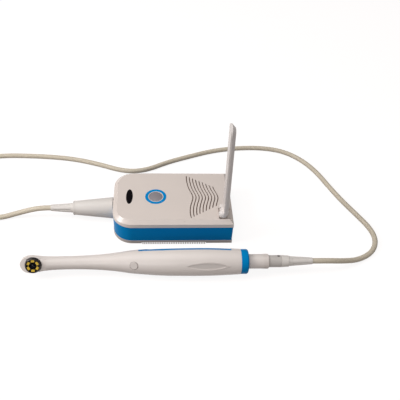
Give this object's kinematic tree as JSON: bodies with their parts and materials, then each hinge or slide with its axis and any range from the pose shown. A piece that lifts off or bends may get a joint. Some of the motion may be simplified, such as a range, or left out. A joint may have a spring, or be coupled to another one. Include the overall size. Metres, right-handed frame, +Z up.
{
  "type": "intraoral camera",
  "caption": "Handheld dental camera with a slim angled head, joined by a long cable to a flat transmitter box with a folding blade antenna.",
  "frame": {"origin": "middle of the handpiece and the box together, on the surface that they stand on", "axes": "+X along the handpiece from its lens end to its cable end, +Y from the handpiece to the box, +Z up"},
  "size_m": [0.464, 0.1897, 0.129],
  "materials": {
    "white_shell": "satin",
    "blue_shell": "satin",
    "base_shell": "satin",
    "antenna_shell": "satin",
    "lens_metal": "polished",
    "lens_glass": "polished",
    "circuit_board": "matt",
    "led_yellow": "satin",
    "black_plastic": "satin",
    "bare_metal": "satin",
    "radiator_brass": "satin",
    "white_button": "satin",
    "grey_plastic": "satin",
    "plug_white": "satin",
    "battery_wrap": "satin",
    "foot_rubber": "matt",
    "cable_jacket": "satin"
  },
  "bodies": {
    "camera_set": {"handpiece_shell": "white_shell", "label_plate": "white_shell", "rear_sleeve": "white_shell", "handpiece_plug_cap": "white_shell", "box_top_cover": "white_shell", "back_cover": "blue_shell", "end_ring": "blue_shell", "box_band": "blue_shell", "button_ring": "blue_shell", "box_base": "base_shell", "lens_bezel": "lens_metal", "lens_window": "lens_glass", "light_board": "circuit_board", "sensor_board": "circuit_board", "handpiece_board": "circuit_board", "main_board": "circuit_board", "led_1": "led_yellow", "led_2": "led_yellow", "led_3": "led_yellow", "led_4": "led_yellow", "led_5": "led_yellow", "led_6": "led_yellow", "lens_barrel": "black_plastic", "sensor_window": "black_plastic", "capture_switch": "black_plastic", "power_switch": "black_plastic", "box_plug_barrel": "black_plastic", "camera_socket": "black_plastic", "image_sensor": "bare_metal", "radio_module": "bare_metal", "base_screws": "bare_metal", "handpiece_plug_barrel": "grey_plastic", "box_plug_shell": "plug_white", "handpiece_strain_relief": "plug_white", "box_plug_strain_relief": "plug_white", "battery_pack": "battery_wrap", "rubber_foot_1": "foot_rubber", "rubber_foot_2": "foot_rubber", "rubber_foot_3": "foot_rubber", "rubber_foot_4": "foot_rubber", "cable_front": "cable_jacket", "cable_coil": "cable_jacket", "cable_back": "cable_jacket"},
    "antenna": {"antenna_blade": "antenna_shell", "antenna_radiator": "radiator_brass", "hinge_pin": "bare_metal"},
    "power_key": {"power_button": "grey_plastic"},
    "capture_key": {"capture_button": "white_button"}
  },
  "joints": [
    {"name": "antenna_fold", "type": "hinge", "parent": "camera_set", "child": "antenna", "pos_m": [0.07015, -0.00103, 0.0306], "axis": [0, 1, 0], "range_deg": [-90, 0]},
    {"name": "power_press", "type": "slide", "parent": "camera_set", "child": "power_key", "axis": [0, 0, -1], "range_m": [0, 0.001], "stiffness_N_per_m": 800, "springref_m": -0.0005},
    {"name": "capture_press", "type": "slide", "parent": "camera_set", "child": "capture_key", "axis": [0, 0.866, -0.5], "range_m": [0, 0.0006], "stiffness_N_per_m": 800, "springref_m": -0.0005}
  ]
}
